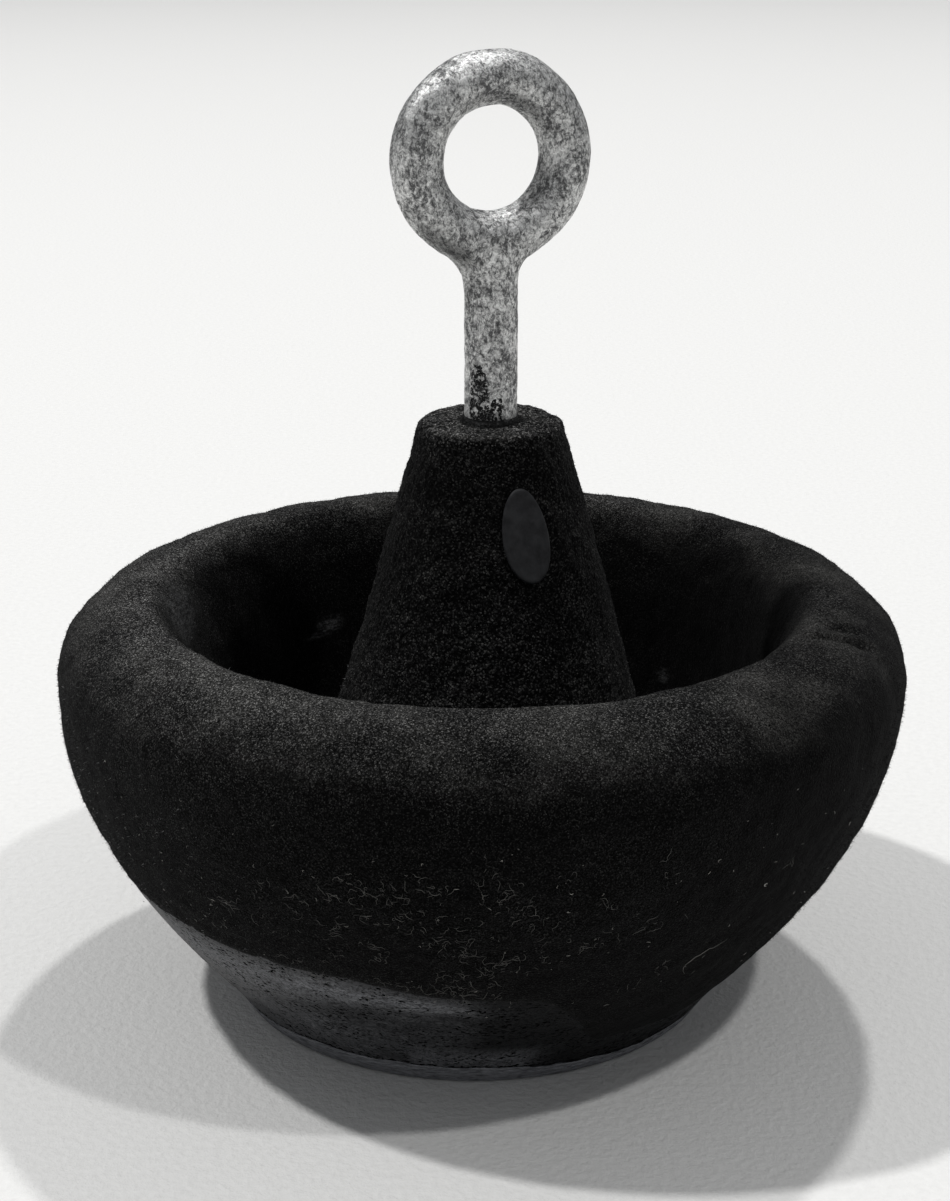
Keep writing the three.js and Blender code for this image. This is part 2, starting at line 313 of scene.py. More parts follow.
class Material:
    """A Principled material and short calls for the nodes that drive it."""

    def __init__(self, name, roughness=0.5, metallic=0.0, specular=0.5):
        self.material = bpy.data.materials.new(name)
        self.material.use_nodes = True
        self.tree = self.material.node_tree
        self.shader = self.tree.nodes["Principled BSDF"]
        self.shader.inputs["Roughness"].default_value = roughness
        self.shader.inputs["Metallic"].default_value = metallic
        self.shader.inputs["Specular IOR Level"].default_value = specular
        self.coordinates = self.tree.nodes.new("ShaderNodeTexCoord").outputs["Object"]

    def node(self, kind, **values):
        made = self.tree.nodes.new(kind)
        for key, value in values.items():
            setattr(made, key, value)
        return made

    def link(self, output, socket):
        self.tree.links.new(output, socket)

    def noise(self, size_mm, detail=3.0, roughness=0.6, stretch=(1, 1, 1), distortion=0.0):
        """Noise between 0 and 1 with features of about the given size."""
        mapping = self.node("ShaderNodeMapping")
        mapping.inputs["Scale"].default_value = stretch
        self.link(self.coordinates, mapping.inputs["Vector"])
        texture = self.node("ShaderNodeTexNoise")
        texture.inputs["Scale"].default_value = 1000 / size_mm
        texture.inputs["Detail"].default_value = detail
        texture.inputs["Roughness"].default_value = roughness
        texture.inputs["Distortion"].default_value = distortion
        self.link(mapping.outputs["Vector"], texture.inputs["Vector"])
        return texture.outputs["Fac"]

    def cells(self, size_mm):
        """Distance from the nearest of many scattered points, in cells."""
        texture = self.node("ShaderNodeTexVoronoi")
        texture.inputs["Scale"].default_value = 1000 / size_mm
        self.link(self.coordinates, texture.inputs["Vector"])
        return texture.outputs["Distance"]

    def grains(self, size_mm):
        """A random shade from 0 to 1 for each of many small cells."""
        texture = self.node("ShaderNodeTexVoronoi")
        texture.inputs["Scale"].default_value = 1000 / size_mm
        self.link(self.coordinates, texture.inputs["Vector"])
        split = self.node("ShaderNodeSeparateColor")
        self.link(texture.outputs["Color"], split.inputs[0])
        return split.outputs[0]

    def ramp(self, factor, stops):
        ramp_node = self.node("ShaderNodeValToRGB")
        ramp = ramp_node.color_ramp
        while len(ramp.elements) < len(stops):
            ramp.elements.new(0.5)
        for element, (position, colour) in zip(ramp.elements, stops, strict=True):
            element.position = position
            element.color = (*grey(colour), 1)
        self.link(factor, ramp_node.inputs["Fac"])
        return ramp_node.outputs["Color"]

    def mix(self, factor, first, second, blend="MIX"):
        mixer = self.node("ShaderNodeMix", data_type="RGBA", blend_type=blend)
        for socket, value in ((0, factor), (6, first), (7, second)):
            if isinstance(value, bpy.types.NodeSocket):
                self.link(value, mixer.inputs[socket])
            elif socket == 0:
                mixer.inputs[0].default_value = value
            else:
                mixer.inputs[socket].default_value = (*grey(value), 1)
        return mixer.outputs[2]

    def tinted(self, colour, factor):
        """A colour multiplied by another."""
        return self.mix(1.0, colour, factor, "MULTIPLY")

    def math(self, operation, first, second=0.0):
        worker = self.node("ShaderNodeMath", operation=operation)
        for socket, value in enumerate((first, second)):
            if isinstance(value, bpy.types.NodeSocket):
                self.link(value, worker.inputs[socket])
            else:
                worker.inputs[socket].default_value = value
        return worker.outputs[0]

    def facing_up(self):
        """1 where the surface faces straight up, 0 on a wall, negative below."""
        split = self.node("ShaderNodeSeparateXYZ")
        self.link(self.node("ShaderNodeNewGeometry").outputs["Normal"], split.inputs[0])
        return split.outputs["Z"]

    def attribute(self, name):
        return self.node("ShaderNodeAttribute", attribute_name=name).outputs["Fac"]

    def finish(self, colour, roughness=None, bumps=()):
        """Sets the colour, and chains (height, distance in mm, strength) bumps."""
        self.link(colour, self.shader.inputs["Base Color"])
        if roughness is not None:
            self.link(roughness, self.shader.inputs["Roughness"])
        normal = None
        for height, distance_mm, strength in bumps:
            bump = self.node("ShaderNodeBump")
            bump.inputs["Distance"].default_value = distance_mm * MM
            bump.inputs["Strength"].default_value = strength
            self.link(height, bump.inputs["Height"])
            if normal is not None:
                self.link(normal, bump.inputs["Normal"])
            normal = bump.outputs["Normal"]
        if normal is not None:
            self.link(normal, self.shader.inputs["Normal"])
        return self.material


def grey(value):
    return (value, value, value) if isinstance(value, (int, float)) else value


def flock_material(name, grain_mm, painted_wall_shade_level):
    """Black felt: tangled fibres, crisp single specks, dusty tops made paler than the walls by painted
    shade, and the tone attribute, which on the bowl is painted light and shade.
    """
    flock = Material(name, roughness=0.9, specular=0.035)
    flock.shader.inputs["Sheen Weight"].default_value = 0.02
    flock.shader.inputs["Sheen Roughness"].default_value = 0.5
    tangle = flock.noise(grain_mm * 1.6, detail=4, roughness=0.8, distortion=1.2)
    beads = flock.cells(grain_mm * 1.5)
    colour = flock.ramp(tangle, [(0.38, 0.005), (0.50, 0.04), (0.58, 0.13), (0.68, 0.34)])
    colour = flock.tinted(colour, flock.ramp(beads, [(0.22, 1.0), (0.58, 0.08)]))
    specks = flock.ramp(flock.grains(grain_mm * 0.7), [(0.80, 0.0), (0.97, 0.6), (1.0, 1.0)])
    colour = flock.mix(specks, colour, (0.38, 0.375, 0.36))
    mottle = flock.ramp(flock.noise(11, detail=6, roughness=0.7), [(0.38, 0.55), (0.62, 1.0)])
    colour = flock.tinted(colour, mottle)
    # Painted shade: walls darker than the tops, by how far the surface faces up.
    top = flock.ramp(flock.facing_up(), [(0.0, painted_wall_shade_level), (0.45, 1.5 * painted_wall_shade_level),
                                         (0.85, 0.65), (1.0, 1.0)])
    colour = flock.tinted(colour, top)
    # Multiplied by the tone attribute, which on the bowl is painted light on the left and painted shade on
    # the right.
    tone = flock.ramp(flock.attribute("tone"), [(0.0, 0.0), (1.0, 1.0)])
    colour = flock.tinted(colour, tone)
    patches = flock.ramp(flock.noise(22, detail=5, roughness=0.6), [(0.42, 0.0), (0.75, 0.45)])
    settled = flock.ramp(flock.facing_up(), [(0.3, 0.0), (0.85, 1.0)])
    caught = flock.ramp(tangle, [(0.42, 0.0), (0.6, 1.0)])
    dust = flock.math("MULTIPLY", flock.math("MULTIPLY", patches, settled), caught)
    colour = flock.mix(dust, colour, (0.13, 0.127, 0.118))
    strokes = flock.ramp(flock.noise(2.4, detail=4, stretch=(1, 1, 3)), [(0.4, 0.1), (0.6, 1.0)])
    pale = flock.math("MULTIPLY", flock.attribute("bare"), flock.ramp(tangle, [(0.4, 0.25), (0.6, 1.0)]))
    pale = flock.math("MULTIPLY", pale, strokes)
    colour = flock.mix(pale, colour, (0.13, 0.13, 0.132))
    return flock.finish(colour, bumps=[
        (flock.noise(2.4, detail=3), 0.5, 0.5),
        (flock.math("SUBTRACT", tangle, beads), 0.25, 0.9),
    ])


def nap_material(name):
    """Single fibres, each with its own shade."""
    nap = Material(name, roughness=0.8, specular=0.06)
    shade = nap.attribute("shade")
    colour = nap.ramp(shade, [(0.0, 0.001), (0.6, 0.005), (0.85, 0.02), (0.96, 0.1), (1.0, 0.4)])
    return nap.finish(colour)


def rubber_coat_material():
    """Smooth grey dip with scuffs round the foot, pinholes and a torn black lower edge."""
    rubber = Material("rubber_coat", roughness=0.5, specular=0.35)
    scuffs = rubber.noise(3.5, detail=7, roughness=0.75, stretch=(1, 1, 4))
    colour = rubber.ramp(scuffs, [(0.36, (0.030, 0.031, 0.036)), (0.5, (0.085, 0.087, 0.096)),
                                  (0.64, (0.19, 0.195, 0.205))])
    grain = rubber.ramp(rubber.grains(0.45), [(0.0, 0.3), (0.6, 1.0)])
    colour = rubber.tinted(colour, grain)
    # The tone attribute is painted light and shade: a painted highlight band, painted light on the left and
    # painted shade to the right.
    tone = rubber.attribute("tone")
    colour = rubber.tinted(colour, rubber.ramp(tone, [(0.0, 0.0), (1.0, 1.0)]))
    sparse = rubber.ramp(rubber.noise(7, detail=2), [(0.40, 0.0), (0.52, 1.0)])
    dashes = rubber.noise(1.3, detail=1, stretch=(1, 1, 2.2))
    holes = rubber.math("MULTIPLY", rubber.ramp(dashes, [(0.38, 1.0), (0.42, 0.0)]), sparse)
    torn = rubber.math("ADD", rubber.attribute("above_seam"), rubber.math("MULTIPLY", dashes, 6.0))
    seam = rubber.ramp(rubber.math("MULTIPLY", torn, 0.125), [(0.40, 1.0), (0.44, 0.0)])
    holes = rubber.math("MAXIMUM", holes, seam)
    colour = rubber.mix(holes, colour, 0.002)
    sound = rubber.math("SUBTRACT", 1.0, holes)
    gloss = rubber.math("MULTIPLY", rubber.math("MULTIPLY", grain, sound), 0.55)
    # Where tone is low, with the painted shade, the specular level drops too.
    level = rubber.math("MULTIPLY", gloss, rubber.ramp(tone, [(0.0, 0.1), (0.6, 1.0)]))
    rubber.link(level, rubber.shader.inputs["Specular IOR Level"])
    rough = rubber.ramp(scuffs, [(0.35, 0.42), (0.65, 0.62)])
    return rubber.finish(colour, rough, bumps=[
        (scuffs, 0.15, 0.5),
        (sound, 0.3, 0.8),
        (grain, 0.06, 0.8),
    ])


def rubber_pad_material():
    """Dull scuffed rubber."""
    rubber = Material("rubber_pad", roughness=0.55, specular=0.35)
    marks = rubber.noise(2.5, detail=6, roughness=0.7, stretch=(1, 1, 4))
    colour = rubber.ramp(marks, [(0.38, (0.06, 0.062, 0.07)), (0.6, (0.22, 0.225, 0.24))])
    rough = rubber.ramp(marks, [(0.3, 0.45), (0.7, 0.7)])
    return rubber.finish(colour, rough, bumps=[(marks, 0.15, 0.5)])


def galvanised_material():
    """Hot-dip zinc: bright worn metal broken up by crisp dull flecks and streaks."""
    zinc = Material("galvanised", roughness=0.45, metallic=0.8)
    flecks = zinc.noise(1.2, detail=8, roughness=0.8, stretch=(1.2, 1.2, 0.8), distortion=0.5)
    wear = zinc.noise(6, detail=5, roughness=0.65)
    spread = zinc.math("ADD", flecks, zinc.math("MULTIPLY", zinc.math("SUBTRACT", wear, 0.5), 0.4))
    colour = zinc.ramp(spread, [(0.41, (0.13, 0.13, 0.132)), (0.455, (0.29, 0.292, 0.29)),
                                (0.49, (0.47, 0.472, 0.465)), (0.57, (0.80, 0.80, 0.79))])
    shards = zinc.ramp(zinc.grains(0.4), [(0.0, 0.5), (0.6, 0.85), (1.0, 1.0)])
    colour = zinc.tinted(colour, shards)
    rough = zinc.ramp(spread, [(0.44, 0.6), (0.56, 0.32)])
    return zinc.finish(colour, rough, bumps=[
        (spread, 0.28, 0.6),
        (zinc.grains(0.45), 0.06, 0.8),
    ])


def residue_material():
    """Black lumpy tar."""
    tar = Material("residue", roughness=0.8, specular=0.3)
    lumps = tar.noise(0.8, detail=3)
    colour = tar.ramp(lumps, [(0.35, 0.002), (0.55, 0.012), (0.7, 0.08)])
    return tar.finish(colour, bumps=[(lumps, 0.4, 0.8)])


def badge_material():
    """Smooth satin grey with faint scratches."""
    badge = Material("badge_grey", roughness=0.5, specular=0.2)
    scratches = badge.noise(1.2, detail=4, roughness=0.7, stretch=(4, 4, 1))
    clouds = badge.math("ADD", badge.noise(3, detail=5), badge.math("MULTIPLY", scratches, 0.3))
    colour = badge.ramp(clouds, [(0.45, (0.006, 0.006, 0.007)), (0.8, (0.022, 0.0225, 0.024))])
    rough = badge.ramp(scratches, [(0.3, 0.42), (0.7, 0.6)])
    return badge.finish(colour, rough, bumps=[(scratches, 0.05, 0.3)])


def cast_iron_material():
    """Sand-cast iron with rust blooms."""
    iron = Material("cast_iron", roughness=0.7, metallic=0.6)
    sand = iron.noise(1.0, detail=4, roughness=0.7)
    rust = iron.ramp(iron.noise(12, detail=4), [(0.5, 0.0), (0.68, 1.0)])
    colour = iron.ramp(sand, [(0.3, 0.035), (0.7, 0.13)])
    colour = iron.mix(rust, colour, (0.09, 0.035, 0.015))
    return iron.finish(colour, bumps=[(sand, 0.4, 0.7)])


def lint_material():
    """Grey dust strands, each with its own shade."""
    lint = Material("lint", roughness=0.9)
    shade = lint.attribute("shade")
    return lint.finish(lint.ramp(shade, [(0.0, (0.05, 0.048, 0.045)), (1.0, (0.42, 0.41, 0.38))]))


# The side levels set how dark the painted shade on the flock's walls is.
FLOCK = flock_material("flock", grain_mm=0.36, painted_wall_shade_level=0.14)
FLOCK_COARSE = flock_material("flock_coarse", grain_mm=0.5, painted_wall_shade_level=0.24)
NAP = nap_material("flock_nap")
RUBBER_COAT = rubber_coat_material()
RUBBER_PAD = rubber_pad_material()
GALVANISED = galvanised_material()
RESIDUE = residue_material()
BADGE = badge_material()
CAST_IRON = cast_iron_material()
LINT = lint_material()


# The bowl.

def coat_edge_z(azimuth):
    """Height where the flock gives way to the rubber dip, for an azimuth in degrees."""
    high = 1 - smooth(np.abs(wrapped(azimuth - COAT_HIGH_AZIMUTH)), 70, 88)
    waves = 0.6 * np.sin(np.radians(azimuth * 5)) + 0.35 * np.sin(np.radians(azimuth * 13 + 40))
    step_down = 7.0 * high * smooth(azimuth, -22, 10)
    return COAT_LOW_Z + COAT_RISE * high - step_down + waves


def bowl_skin():
    """Flocked shell, from its feathered edge on the dip, over the rim, to the floor."""
    columns = 540
    rows_side = 76
    azimuth = np.linspace(0, 360, columns, endpoint=False)
    edge = coat_edge_z(wrapped(azimuth))
    share = np.linspace(0, 1, rows_side)[:, None]
    side_z = edge + (WIDEST_Z - edge) * share
    side = around_axis(side_radius(side_z), np.radians(azimuth), side_z)
    upper = turned_grid(resample(rim_and_wall_path(), 84), columns)
    base = np.concatenate([side, upper])
    lumps = 0.55 * noise_field(base, 16, 1) + 0.35 * noise_field(base, 6, 2)
    grain = 0.22 * noise_field(base, 2.2, 3)
    rows = np.arange(base.shape[0])[:, None]
    feather = smooth(rows, 0, 5)
    raised = (lumps + grain + rim_wrinkles(base)) * feather - 0.75 * (1 - feather)
    outer = settle_bowl(push(base, raised))
    closed = shell(outer, SKIN)
    worn_edge = 0.3 * np.exp(-((base[..., 2] - edge) / 2.6) ** 2)
    bare = np.zeros(closed.shape[:2])
    bare[:len(base)] = np.maximum(bare_spots(base), worn_edge)
    skin = grid_object("bowl_skin", closed, FLOCK)
    set_attribute(skin, "bare", bare)
    # tone: painted light on the left of the bowl and painted shade on its right.
    set_attribute(skin, "tone", bowl_painted_shading(closed))
    add_piece(skin, "flock", "bowl_cover")
    return outer


def bowl_painted_shading(points):
    """Painted light and shade on the bowl's flock: paler on the left, blacker on the right."""
    azimuth = azimuth_of(points)
    # Painted shade on the right.
    blacker = 0.36 * bump_window(azimuth, 88, 36, 40)
    # Painted light on the left.
    paler = 0.32 * bump_window(azimuth, -72, 26, 40)
    return 0.68 - blacker + paler


def bare_spots(points):
    """Worn spots inside the rim."""
    # Each: azimuth in degrees, then height, half width and half height in millimetres, then strength.
    spots = [(-144, 75, 5.0, 2.6, 1.0), (-141, 72.5, 4.0, 1.0, 0.8), (134, 63, 2.6, 2.0, 0.7),
             (-91, 98, 15.0, 8.0, 0.6)]
    inside = np.hypot(points[..., 0], points[..., 1]) < CREST_RADIUS
    bare = np.zeros(points.shape[:2])
    for azimuth, height, half_width, half_height, strength in spots:
        across = np.radians(azimuth_of(points) - azimuth) * MOUTH_RADIUS / half_width
        up = (points[..., 2] - height) / half_height
        bare = np.maximum(bare, strength * (1 - smooth(np.hypot(across, up), 0.35, 1.2)) * inside)
    return bare


def rim_wrinkles(points):
    """Two short creases that run outwards across the right of the rim."""
    azimuth = azimuth_of(points)
    radius = np.hypot(points[..., 0], points[..., 1])
    outwards = 7
    bend = 0.37 * (radius - CREST_RADIUS - outwards)
    crease = np.zeros(points.shape[:2])
    for middle, half_length, depth in ((67, 6.0, 2.2), (71.5, 3.0, 1.4)):
        across = np.radians(azimuth - middle - bend) * radius
        window = bump_window(radius, CREST_RADIUS + outwards, half_length, 2.5)
        crease -= depth * np.exp(-(across / 1.3) ** 2) * window
    return crease * (points[..., 2] > WIDEST_Z)


def bowl_floor():
    """Flocked ring on the bowl's floor, between the cone and the wall."""
    inner = cone_radius(FLOOR_Z - SKIN) + 0.3
    path = np.array([[FLOOR_OUTER_RADIUS, FLOOR_Z], [inner, FLOOR_Z]])
    base = turned_grid(resample(path, 9), 240)
    outer = push(base, 0.35 * noise_field(base, 4, 4))
    closed = shell(outer, SKIN)
    floor = grid_object("bowl_floor_skin", closed, FLOCK)
    set_attribute(floor, "tone", np.ones(closed.shape[:2]))
    add_piece(floor, "flock", "bowl_floor_cover")


def pad_top_z(azimuth):
    """Height of the ragged seam between the pad and the dip."""
    high = bump_window(azimuth, -17, 12, 42)
    ragged = 0.25 * np.sin(np.radians(azimuth * 17)) + 0.15 * np.sin(np.radians(azimuth * 41 + 70))
    return PAD_TOP_Z + 0.1 + 2.4 * high + ragged


def dip_painted_shading(points, edge):
    """How pale the dip is: a painted highlight band below its edge, a patch at the front, painted light low
    on the left and painted shade to the right.
    """
    azimuth = azimuth_of(points)
    height = points[..., 2]
    below = edge - height
    breadth = 2.2 + 5.0 * smooth(-azimuth, 5, 45)
    # Painted highlight: a pale band just below the flock's edge, broader to the left.
    painted_highlight = np.exp(-((below - breadth) / breadth) ** 2) * bump_window(azimuth, -38, 28, 22)
    patch = np.exp(-((height - 9.5) / 4.5) ** 2) * bump_window(azimuth, -1, 9, 6)
    # Painted light low on the left.
    left = bump_window(azimuth, -55, 22, 30) * smooth(below, 12, 22)
    # Painted shade to the right, and above the front patch.
    above_patch = bump_window(azimuth, 22, 18, 9) * smooth(height, 12, 17)
    shaded = np.maximum(bump_window(azimuth, 45, 26, 9), above_patch)
    tone = 0.24 + 0.7 * painted_highlight + 0.6 * patch + 0.3 * left + 0.08 * noise_field(points, 14, 50)
    return np.clip(tone * (1 - 0.75 * shaded), 0.02, 1)


def base_coat():
    """The rubber dip, from the ragged seam up under the flock's edge, and in under the foot."""
    columns = 480
    under_flock = 4
    azimuth = np.linspace(0, 360, columns, endpoint=False)
    low = pad_top_z(wrapped(azimuth)) + 0.25
    edge = coat_edge_z(wrapped(azimuth))
    share = np.linspace(0, 1, 64)[:, None] ** 1.2
    z = low + (edge + under_flock - low) * share
    side = around_axis(side_radius(z) - 0.3, np.radians(azimuth), z)
    ripple = 0.22 * noise_field(side, 14, 5) + 0.08 * noise_field(side, 3, 6)
    pits = -0.4 * smooth(noise_field(side * [1, 1, 2.5], 1.9, 7), 0.35, 0.6)
    near_seam = np.exp(-((z - low) / 4) ** 2)
    side = push(side, ripple + pits * near_seam)
    under_z = PAD_TOP_Z + 0.3
    under_path = np.array([[34.0, under_z], [GROUND_RADIUS - 3, under_z]])
    under = turned_grid(resample(under_path, 4), columns)
    backing = side[::9]
    inner = push(backing, np.full(backing.shape[:2], -1.0))[::-1]
    points = np.concatenate([under, side, inner])
    coat = grid_object("base_dip", settle_bowl(points), RUBBER_COAT)
    # tone: painted highlight, painted light and painted shade on the dip.
    set_attribute(coat, "tone", dip_painted_shading(points, edge))
    set_attribute(coat, "above_seam", points[..., 2] - low)
    add_piece(coat, "rubber_coat", "base_coat")


def base_pad():
    """Flat rubber ring. Its rim is flush with the dip and has one fine groove round it."""
    azimuth = np.linspace(0, 360, 480, endpoint=False)
    top = pad_top_z(wrapped(azimuth))
    hole = node_radii("base_pad")[0]
    chamfer = 0.5
    rings = [(GROUND_RADIUS - 0.9, 0), (GROUND_RADIUS - 0.3, 0.25)]
    for share in np.linspace(0.12, 1, 14):
        z = top * share
        groove = 0.45 * np.exp(-((top - z - 1.3) / 0.28) ** 2)
        rings.append((side_radius(z) - 0.1 - groove, z))
    uneven = slice(3, len(rings))
    rings += [
        (side_radius(top) - 0.6, top + 0.15), (GROUND_RADIUS - 2.5, PAD_TOP_Z),
        (hole + chamfer, PAD_TOP_Z), (hole, PAD_TOP_Z - chamfer), (hole, chamfer), (hole + chamfer, 0),
    ]
    points = np.array([around_axis(radius, np.radians(azimuth), z) for radius, z in rings])
    points[uneven] = push(points, 0.12 * noise_field(points, 5, 8))[uneven]
    pad = grid_object("foot_pad", settle_bowl(points), RUBBER_PAD)
    add_piece(pad, "rubber_pad", "base_pad")


# The cone.

def cone_skin():
    """Coarse flocked shell, pressed flat under the badge."""
    base = turned_grid(resample(cone_path(FLOOR_Z - SKIN), 190), 420)
    lumps = 0.45 * noise_field(base, 9, 9) + 0.3 * noise_field(base, 3.5, 10)
    grain = 0.3 * noise_field(base, 1.3, 11)
    flat = smooth(oval_distance(base), 0.95, 1.25)
    raised = (lumps + grain) * flat - 0.35 * (base[..., 2] < CONE_TOP_Z - 1)
    outer = settle_cone(push(base, raised))
    closed = shell(outer, SKIN)
    skin = grid_object("cone_skin", closed, FLOCK_COARSE)
    set_attribute(skin, "tone", cone_tone(closed))
    add_piece(skin, "flock_coarse", "cone_cover")
    return outer


def cone_tone(points):
    """The cone's side is blackest just below its paler top."""
    height = points[..., 2]
    darker = 0.55 * smooth(height, 85, 128)
    return 1 - darker * (1 - smooth(height, CONE_TOP_Z - 4, CONE_TOP_Z - 0.5))


def badge_point(across, up, lift):
    """Point on or above the cone, from distances across and up the badge."""
    u = across * math.cos(BADGE_LEAN) - up * math.sin(BADGE_LEAN)
    v = across * math.sin(BADGE_LEAN) + up * math.cos(BADGE_LEAN)
    slant = math.hypot(1, CONE_SLOPE)
    z = BADGE_Z + v / slant
    turn = BADGE_AZIMUTH + u / cone_radius(BADGE_Z)
    return around_axis(cone_radius(z) + lift / slant, turn, z + lift * CONE_SLOPE / slant)


def oval_distance(points):
    """Distance from the badge's middle as a share of its outline."""
    turn = np.arctan2(points[..., 0], -points[..., 1]) - BADGE_AZIMUTH
    u = turn * cone_radius(BADGE_Z)
    v = (points[..., 2] - BADGE_Z) * math.hypot(1, CONE_SLOPE)
    return np.hypot(u / BADGE_HALF_WIDTH, v / BADGE_HALF_HEIGHT)


def side_badge():
    """Plain oval plate that follows the cone, with a soft raised lip."""
    angle = np.linspace(0, 2 * math.pi, 96, endpoint=False)
    # Share of the outline, and height over the cone.
    profile = [(0.3, -0.2), (0.97, -0.2), (1.0, 0.1), (1.0, 0.55), (0.985, 0.8), (0.95, 0.92),
               (0.9, 0.9), (0.84, 0.78), (0.76, 0.72), (0.6, 0.7), (0.4, 0.7), (0.2, 0.7), (0.02, 0.7)]
    rings = []
    for scale, lift in profile:
        across = BADGE_HALF_WIDTH * scale * np.cos(angle)
        up = BADGE_HALF_HEIGHT * scale * np.sin(angle)
        rings.append(badge_point(across, up, lift))
    badge = capped_object("oval_badge", settle_cone(np.array(rings)), BADGE)
    add_piece(badge, "badge_grey", "side_badge")


# Fibres.

def spikes(name, outer, length, keep, tone, width=0.07):
    """Short tapered fibres on a grid surface, as closed three-sided spikes."""
    count = FIBRES_PER_PIECE
    most_lean = 1.05
    normals = grid_normals(outer)
    next_column = np.roll(outer, -1, 1)
    area = np.linalg.norm(np.cross(np.diff(outer, axis=0), (next_column - outer)[:-1]), axis=2)
    area = area * keep[:-1]
    chance = area.ravel() / area.sum()
    cell = rng.choice(area.size, count, p=chance)
    row, column = np.divmod(cell, outer.shape[1])
    s = rng.random((count, 1))
    t = rng.random((count, 1))
    low = outer[row, column] * (1 - t) + next_column[row, column] * t
    high = outer[row + 1, column] * (1 - t) + next_column[row + 1, column] * t
    root = low * (1 - s) + high * s
    normal = normals[row, column]
    sideways = rng.normal(size=(count, 3))
    sideways -= normal * (sideways * normal).sum(1, keepdims=True)
    sideways /= np.linalg.norm(sideways, axis=1, keepdims=True)
    tilt = rng.random((count, 1)) * most_lean
    direction = normal * np.cos(tilt * 1.4) + sideways * np.sin(tilt * 1.4)
    across = np.cross(direction, normal + 0.01)
    across /= np.linalg.norm(across, axis=1, keepdims=True)
    third = np.cross(direction, across)
    sizes = length * (0.45 + 0.9 * rng.random((count, 1)) ** 2)
    tones = tone[row, column]
    start = root - normal * 0.25
    corners = [start + (across * math.cos(a) + third * math.sin(a)) * width for a in FIBRE_CORNERS]
    vertices = np.stack([*corners, start + direction * sizes], 1).reshape(-1, 3)
    base = np.arange(count)[:, None] * 4
    faces = (base[:, None] + np.array([[0, 1, 3], [1, 2, 3], [2, 0, 3], [2, 1, 0]])).reshape(-1, 3)
    obj = mesh_object(name, vertices, faces.tolist(), NAP, smooth_shaded=False)
    # Each fibre's random shade is scaled by tone, which on the bowl carries its painted light and shade.
    set_attribute(obj, "shade", np.repeat(rng.random(count) * (0.75 + 0.25 * tones), 4))
    return obj


def bowl_fibres(outer):
    """Fibres on the outside and on the rim and inner wall, each in a left and a right piece."""
    height = outer[..., 2]
    radius = np.hypot(outer[..., 0], outer[..., 1])
    outside = (radius > CREST_RADIUS) | (height < WIDEST_Z - 5) & (radius > MOUTH_RADIUS + 8)
    clear = smooth(height - coat_edge_z(azimuth_of(outer)), 0.5, 5)
    lower = outside & (height < WIDEST_Z)
    rim = (height >= WIDEST_Z) | ~outside & (height > 60)
    # The fibres take the bowl's painted light and shade.
    tone = bowl_painted_shading(outer)
    for half, side in (("left", outer[..., 0] < 0), ("right", outer[..., 0] >= 0)):
        add_piece(spikes("bowl_fibres_" + half, outer, 0.9, lower * clear * side, tone), "flock")
        add_piece(spikes("rim_fibres_" + half, outer, 0.8, rim & side, tone), "flock")


def cone_fibres(outer):
    """Fibres on the cone, clear of the badge and of the dark trough."""
    clear = smooth(oval_distance(outer - [CONE_SHIFT, 0, 0]), 1.02, 1.12)
    visible = smooth(outer[..., 2], 55, 70)
    fibres = spikes("cone_fibres", outer, 0.7, clear * visible, cone_tone(outer), width=0.08)
    add_piece(fibres, "flock_coarse")


# Lint: thin strands that lie on the bowl.

def strand(points, radius):
    """Vertices and faces of a closed four-sided tube along points."""
    along = np.gradient(points, axis=0)
    along /= np.linalg.norm(along, axis=1, keepdims=True)
    side = np.cross(along, [0.31, 0.22, 0.92])
    side /= np.linalg.norm(side, axis=1, keepdims=True)
    third = np.cross(along, side)
    taper = np.sin(np.linspace(0.25, math.pi - 0.25, len(points)))[:, None] * radius
    rings = np.stack([points + side * taper, points + third * taper,
                      points - side * taper, points - third * taper], 1)
    faces = grid_faces(len(points), 4, False)
    last = (len(points) - 1) * 4
    faces += [[3, 2, 1, 0], [last, last + 1, last + 2, last + 3]]
    return rings.reshape(-1, 3), faces


def lint_strand(azimuth, height, length, heading, curl, radius):
    """A strand that wanders over the bowl's side from an azimuth in degrees and a height."""
    steps = 14
    across, up, angle = 0.0, 0.0, heading
    trail = []
    for _ in range(steps):
        z = height + up
        turn = math.radians(azimuth) + across / side_radius(z)
        trail.append(around_axis(side_radius(z) + 0.9, turn, z))
        across += math.cos(angle) * length / steps
        up += math.sin(angle) * length / steps
        angle += curl + rng.normal() * 0.45
    return strand(settle_bowl(np.array(trail)), radius)


def lint():
    """Tufts on the front, single fibres all over it, then a speck and a long strand on the right."""
    pieces, shades = [], []

    def lay(azimuth, height, length, heading, curl, radius, shade):
        pieces.append(lint_strand(azimuth, height, length, heading, curl, radius))
        shades.append(np.full(len(pieces[-1][0]), shade))

    for _ in range(130):
        azimuth, height = rng.normal(-5, 14), rng.uniform(38, 77)
        for _ in range(rng.integers(1, 7)):
            lay(azimuth + rng.normal() * 0.8, height + rng.normal() * 1.0, rng.uniform(0.8, 4.5),
                rng.uniform(0, 6.3), rng.normal() * 0.12, 0.042, rng.uniform(0.0, 0.22))
    for _ in range(160):
        lay(rng.uniform(-70, 70), rng.uniform(32, 86), rng.uniform(0.5, 1.6), rng.uniform(0, 6.3),
            rng.normal() * 0.3, 0.055, rng.uniform(0.0, 0.8))
    lay(39, 62, 2.4, 1.9, 0.2, 0.1, 1.0)
    lay(31.5, 38, 17, 2.3, -0.13, 0.06, 0.4)
    obj = mesh_object("lint", *merged(pieces), LINT)
    set_attribute(obj, "shade", np.concatenate(shades))
    add_piece(obj, "flock")


# The eye bolt.

